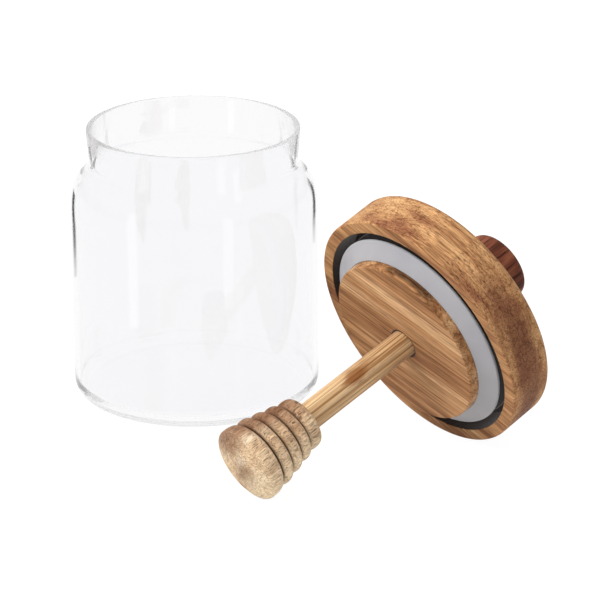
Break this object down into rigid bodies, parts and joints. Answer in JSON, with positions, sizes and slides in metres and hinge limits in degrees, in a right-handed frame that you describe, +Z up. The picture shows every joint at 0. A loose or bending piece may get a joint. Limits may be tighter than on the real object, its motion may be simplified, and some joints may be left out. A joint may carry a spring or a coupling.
{
  "type": "honey pot",
  "caption": "Clear glass honey jar standing open, with its turned wooden lid leaning beside it on its skirt and on the head of the wooden dipper fixed in it.",
  "frame": {"origin": "middle of the jar's flat underside, on the surface that the jar, the lid's skirt and the dipper's head rest on", "axes": "+Z up along the jar's axis; the lid lies towards +X and -Y, and its axis dips towards -X and -Y"},
  "size_m": [0.1874, 0.1808, 0.1118],
  "materials": {
    "clear_glass": "clear, colourless, polished",
    "acacia": "golden to reddish brown grain with dark pores, oiled, satin",
    "pale_acacia": "light tan with short dark pores and browner streaks, sanded, matt",
    "dark_wood": "dark reddish brown with darker stripes, oiled, satin",
    "bamboo": "pale yellow tan with fine lengthwise lines and one browner band, satin",
    "silicone": "translucent white, smooth, satin"
  },
  "bodies": {
    "root": {"jar": "clear_glass", "lid": "acacia", "plug": "acacia", "seal": "silicone", "knob": "dark_wood", "dipper_shaft": "bamboo", "dipper_head": "pale_acacia"}
  },
  "joints": []
}
